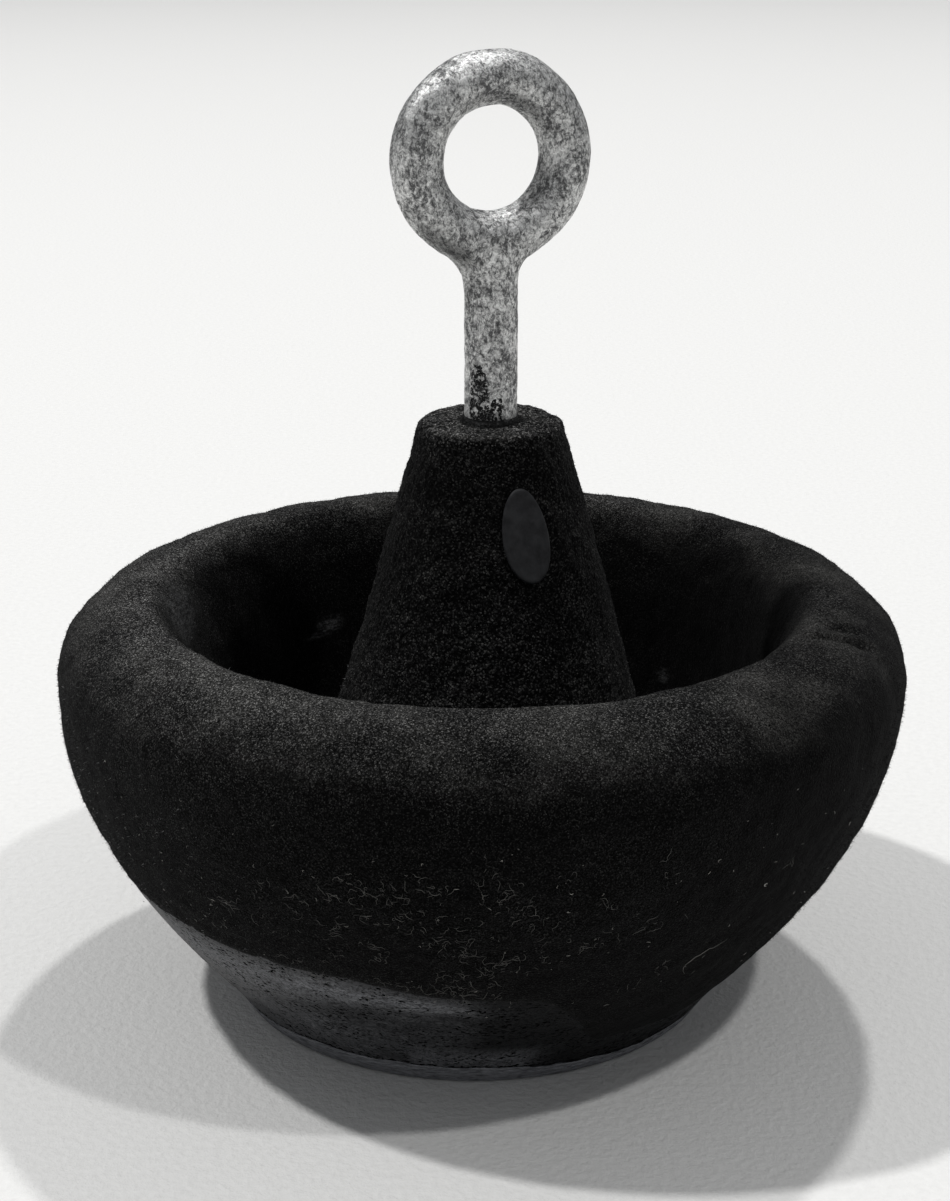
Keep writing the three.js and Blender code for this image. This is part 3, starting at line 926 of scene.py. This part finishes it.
def ring_grid():
    """The eye's ring, upright and facing the front."""
    columns, rows = 96, 48
    around = np.linspace(0, 2 * math.pi, columns, endpoint=False)[None, :]
    section = np.linspace(0, 2 * math.pi, rows, endpoint=False)[:, None]
    radius = RING_RADIUS + RING_SECTION * np.cos(section)
    depth = np.broadcast_to(RING_SECTION * np.sin(section), (rows, columns))
    return np.stack([radius * np.sin(around), depth, EYE_Z + radius * np.cos(around)], 2)


def neck_half_width(z, fillet):
    """Half width of the web that joins the shank to the ring, at a height."""
    centre_x = SHANK_RADIUS + fillet
    reach = RING_RADIUS + RING_SECTION + fillet
    centre_z = EYE_Z - math.sqrt(reach ** 2 - centre_x ** 2)
    inside = np.clip(fillet ** 2 - (z - centre_z) ** 2, 0, None)
    return np.where(z < centre_z, SHANK_RADIUS, centre_x - np.sqrt(inside))


def shank_grid(low_z):
    """The round shank, widening to the ring through a fillet on each side."""
    columns = 64
    high_z = EYE_Z - RING_RADIUS - 1
    z = np.linspace(low_z, high_z, 220)[:, None]
    turn = np.linspace(0, 2 * math.pi, columns, endpoint=False)[None, :]
    left = neck_half_width(z, NECK_FILLET_LEFT)
    right = neck_half_width(z, NECK_FILLET_RIGHT)
    half = np.where(np.cos(turn) < 0, left, right)
    inside_ring = z > EYE_Z - (RING_RADIUS + RING_SECTION) * 0.82
    half = np.where(inside_ring, np.minimum(half, NECK_HALF_WIDTH_LIMIT), half)
    x = half * np.cos(turn)
    y = np.broadcast_to(SHANK_RADIUS * 0.985 * np.sin(turn), x.shape)
    return np.stack([x, y, np.broadcast_to(z, x.shape)], 2)


def capped_object(name, points, material):
    """A grid with its first and last rows closed."""
    rows, columns = points.shape[:2]
    faces = grid_faces(rows, columns, False)
    faces.append(list(range(columns))[::-1])
    faces.append([(rows - 1) * columns + i for i in range(columns)])
    return mesh_object(name, points.reshape(-1, 3), faces, material)


def fused(name, parts, voxel_mm):
    """One skin round several overlapping closed objects."""
    joined = parts[0]
    with bpy.context.temp_override(active_object=joined, selected_editable_objects=parts):
        bpy.ops.object.join()
    remesh = joined.modifiers.new("remesh", "REMESH")
    remesh.mode = "VOXEL"
    remesh.voxel_size = voxel_mm * MM
    soften = joined.modifiers.new("soften", "SMOOTH")
    soften.factor = 0.5
    soften.iterations = 5
    return baked(joined, name)


def baked(obj, name):
    """A copy of obj with its modifiers applied. obj is deleted."""
    graph = bpy.context.evaluated_depsgraph_get()
    mesh = bpy.data.meshes.new_from_object(obj.evaluated_get(graph))
    made = bpy.data.objects.new(name, mesh)
    bpy.context.collection.objects.link(made)
    bpy.data.objects.remove(obj)
    mesh.name = name
    return made


def threaded_end(low_z, high_z):
    """Helical thread as one grid: each row is a turn's cross-section, shifted round the axis."""
    columns = 40
    steps = int((high_z - low_z) / THREAD_PITCH * 6)
    z = np.linspace(low_z, high_z, steps)[:, None]
    turn = np.linspace(0, 2 * math.pi, columns, endpoint=False)[None, :]
    phase = (z / THREAD_PITCH - turn / (2 * math.pi)) % 1
    ridge = 1 - 2 * np.abs(phase - 0.5)
    fade = smooth(z, low_z, low_z + 1.6) * (1 - smooth(z, high_z - 4, high_z))
    radius = SHANK_RADIUS - 0.1 - 0.95 * (1 - ridge) * fade - 0.9 * (1 - smooth(z, low_z, low_z + 1.2))
    return np.stack([radius * np.cos(turn), radius * np.sin(turn), np.broadcast_to(z, radius.shape)], 2)


def eye_bolt():
    """Ring and shank in one skin with zinc lumps, a parting line and a chip, and a threaded end."""
    thread_top = 40.0
    ring = grid_object("ring_part", ring_grid(), GALVANISED)
    shank = capped_object("shank_part", shank_grid(thread_top - 2), GALVANISED)
    bolt = fused("eye_bolt_zinc", [ring, shank], 0.55)
    count = len(bolt.data.vertices)
    points = np.empty(count * 3)
    normals = np.empty(count * 3)
    bolt.data.vertices.foreach_get("co", points)
    bolt.data.vertices.foreach_get("normal", normals)
    points = points.reshape(-1, 3) / MM
    normals = normals.reshape(-1, 3)
    lumps = 0.16 * noise_field(points, 5, 20) + 0.09 * noise_field(points, 1.8, 21)
    flash = 0.42 * np.exp(-(points[:, 1] / 0.45) ** 2) * smooth(noise_field(points, 7, 22), -0.35, 0.3)
    flash *= smooth(points[:, 2], 150, 165)
    chip_centre = [9.6, -2.2, EYE_Z - 8.3]
    chip = np.exp(-(np.linalg.norm(points - chip_centre, axis=1) / 1.5) ** 2)
    points += normals * (lumps + flash - 0.8 * chip)[:, None]
    yawed = points.copy()
    yawed[:, 0] = points[:, 0] * math.cos(EYE_YAW) - points[:, 1] * math.sin(EYE_YAW)
    yawed[:, 1] = points[:, 0] * math.sin(EYE_YAW) + points[:, 1] * math.cos(EYE_YAW)
    yawed[:, 0] += cone_shift(yawed[:, 2])
    bolt.data.vertices.foreach_set("co", (yawed * MM).ravel())
    bolt.data.polygons.foreach_set("use_smooth", np.ones(len(bolt.data.polygons), bool))
    thread = capped_object("thread_part", threaded_end(BOLT_END_Z, thread_top), GALVANISED)
    with bpy.context.temp_override(active_object=bolt, selected_editable_objects=[bolt, thread]):
        bpy.ops.object.join()
    bolt.data.materials.clear()
    bolt.data.materials.append(GALVANISED)
    add_piece(bolt, "galvanised", "eye_bolt")


def granule(centre, outward, size):
    """A squashed octahedron, its six corners scattered a little."""
    across = np.array([-outward[1], outward[0], 0.0])
    up = np.array([0.0, 0.0, 1.0])
    reach = size * rng.uniform(0.6, 1.3, 6)
    ends = [across, -across, up, -up, outward * 0.6, -outward * 0.6]
    corners = np.array([centre + end * length for end, length in zip(ends, reach, strict=True)])
    faces = [[0, 2, 4], [2, 1, 4], [1, 3, 4], [3, 0, 4], [2, 0, 5], [1, 2, 5], [3, 1, 5], [0, 3, 5]]
    return corners, faces


def sealant():
    """Thin tar fillet in the cone's hole with grains all round, and crusts up the shank's front."""
    columns = 160
    turn = np.linspace(0, 2 * math.pi, columns, endpoint=False)
    base_z = CONE_TOP_Z - 0.8
    share = np.linspace(0, 1, 14)[:, None]
    height = base_z + 2.2 * share
    lumps = 0.25 * noise_field(around_axis(8, turn, height), 1.0, 32)
    fillet = 0.4 * (BEAD_RADIUS - SHANK_RADIUS) * (1 - share) ** 1.6
    outer = around_axis(SHANK_RADIUS + 0.05 + fillet + lumps * (1 - share), turn, height)
    core = around_axis(SHANK_RADIUS - 0.95, turn, height[[-1, 0]])
    points = np.concatenate([outer, core])
    pieces = [(points.reshape(-1, 3), grid_faces(len(points), columns, True))]
    # Each: azimuth and half width in degrees, climb up the shank, reach outwards, number of grains.
    crusts = ((-28, 25, 14.5, 0, 1500), (13, 19, 6.2, 0, 560), (0, 180, 0.3, 1.0, 600))
    for azimuth, half_width, climb, reach, count in crusts:
        for _ in range(count):
            up = climb * rng.random() ** 1.15
            at = azimuth + rng.uniform(-1, 1) * half_width * (1 - 0.5 * (up / climb) ** 2)
            spot = around_axis(1.0, math.radians(at), 0.0)
            patchy = noise.noise(Vector((at * 0.12, up * 1.1, azimuth * 0.37)))
            if patchy < -0.15 - reach:
                continue
            out = reach * rng.random()
            centre = spot * (SHANK_RADIUS + 0.02 + out) + [0, 0, base_z + 1.4 + up - 0.4 * out]
            pieces.append(granule(centre, spot, rng.uniform(0.1, 0.3)))
    vertices, faces = merged(pieces)
    bead = mesh_object("shank_residue", settle_cone(vertices), faces, RESIDUE, smooth_shaded=False)
    add_piece(bead, "residue", "sealant_bead")


# The iron inside, set just below the skins, with the nut's recess underneath.

def inset_path(path, depth):
    """A path moved inwards, off its own slope."""
    slope = np.gradient(path, axis=0)
    slope /= np.maximum(np.linalg.norm(slope, axis=1, keepdims=True), 1e-9)
    return path + np.stack([-slope[:, 1], slope[:, 0]], 1) * depth


def node_radii(node):
    """Smallest and largest distance of a CAD node's corners from the axis."""
    radii = [math.hypot(v.co.x, v.co.y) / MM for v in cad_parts[node].data.vertices]
    return min(radii), max(radii)


def bowl_iron():
    """The casting under the bowl's skins, with the nut's recess."""
    bottom_z = box_mm("bowl_casting")[0][2]
    bore = node_radii("bowl_casting")[0]
    recess_z = box_mm("flat_washer")[1][2] + 0.3
    recess_r = node_radii("base_pad")[0] - 2
    skin = np.concatenate([side_path(bottom_z + 1.5, WIDEST_Z), rim_and_wall_path()])
    outside = resample(inset_path(skin, IRON_DEPTH), 90)
    corner = 0.6
    recess = np.array([[bore, FLOOR_Z - IRON_DEPTH], [bore, recess_z], [recess_r - 2, recess_z],
                       [recess_r - corner, recess_z - corner], [recess_r, recess_z - 2]])
    foot = [[recess_r, bottom_z + corner], [recess_r + corner, bottom_z], [GROUND_RADIUS - 3, bottom_z]]
    base = turned_grid(np.concatenate([outside, resample(recess, 40), foot]), 240)
    sand = 0.22 * noise_field(base, 2.5, 40) + 0.2 * noise_field(base, 9, 41)
    sand *= (base[..., 2] > bottom_z + 1) & (np.hypot(base[..., 0], base[..., 1]) > bore + 3)
    iron = grid_object("bowl_iron", settle_bowl(push(base, sand)), CAST_IRON)
    add_piece(iron, "cast_iron", "bowl_casting")


def cone_iron():
    """The casting under the cone's skin."""
    bore = node_radii("cone_casting")[0]
    low_z = box_mm("cone_casting")[0][2]
    outside = resample(inset_path(cone_path(low_z)[:-1], IRON_DEPTH), 40)
    outside[0, 1] = low_z
    top_z = CONE_TOP_Z - IRON_DEPTH
    core = np.array([[bore, top_z], [bore, low_z]])
    base = turned_grid(np.concatenate([outside, core]), 160)
    iron = grid_object("cone_iron", settle_cone(base), CAST_IRON)
    add_piece(iron, "cast_iron", "cone_casting")


# CAD nodes that stay, with better materials.

def paint_node(name, material):
    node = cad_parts[name]
    node.data.materials.clear()
    node.data.materials.append(material)


# Stage, light and camera.

def floor():
    """Large pale board, a hair under the object."""
    board = Material("pale_board", roughness=0.7, specular=0.1)
    stipple = board.noise(2.2, detail=3)
    colour = board.ramp(stipple, [(0.3, (0.76, 0.755, 0.74)), (0.7, (0.81, 0.805, 0.79))])
    material = board.finish(colour, bumps=[(stipple, 0.5, 1.0)])
    half = 6000
    top = -0.05
    corners = np.array([[-half, -half, top], [half, -half, top], [half, half, top], [-half, half, top]])
    obj = mesh_object("floor", corners, [[0, 1, 2, 3]], material, smooth_shaded=False)


def lamp(name, direction, distance, size, power):
    """A round lamp that shines on the anchor's middle from a direction. Metres and watts."""
    target = Vector((0, 0, 0.08))
    light = bpy.data.lights.new(name, "AREA")
    light.shape = "DISK"
    light.size = size
    light.energy = power
    obj = bpy.data.objects.new(name, light)
    place = Vector(direction).normalized() * distance
    obj.location = place + target
    obj.rotation_mode = "QUATERNION"
    obj.rotation_quaternion = (-place).to_track_quat("-Z", "Y")
    bpy.context.collection.objects.link(obj)


def lights():
    distance = 6.0
    size = 0.28
    lamp("lamp_back", (0.15, 0.48, 1), distance, size, 130)
    lamp("lamp_right", (0.46, -0.30, 1), distance, size, 82)
    lamp("lamp_left", (-0.53, 0.02, 1), distance, size, 175)
    world = bpy.data.worlds.new("studio")
    world.use_nodes = True
    background = world.node_tree.nodes["Background"]
    background.inputs["Color"].default_value = (0.95, 0.97, 1.0, 1)
    background.inputs["Strength"].default_value = 0.27
    bpy.context.scene.world = world


def camera():
    """The viewpoint: 552 mm in front of the axis, 292 mm up, looking down 19 degrees."""
    pitch = 0.331
    data = bpy.data.cameras.new("camera")
    data.sensor_width = 36
    data.lens = 68.9
    obj = bpy.data.objects.new("camera", data)
    obj.location = (-0.0018, -0.5522, 0.2921)
    obj.rotation_euler = (math.pi / 2 - pitch, 0, 0)
    bpy.context.collection.objects.link(obj)
    bpy.context.scene.camera = obj


camera()
lights()
floor()
bowl_surface = bowl_skin()
bowl_floor()
base_coat()
base_pad()
cone_surface = cone_skin()
side_badge()
bowl_fibres(bowl_surface)
cone_fibres(cone_surface)
lint()
eye_bolt()
sealant()
bowl_iron()
cone_iron()
for fastener in ("flat_washer", "lock_washer", "hex_nut"):
    paint_node(fastener, GALVANISED)
bpy.context.scene.view_settings.view_transform = "Standard"

bpy.context.view_layer.update()
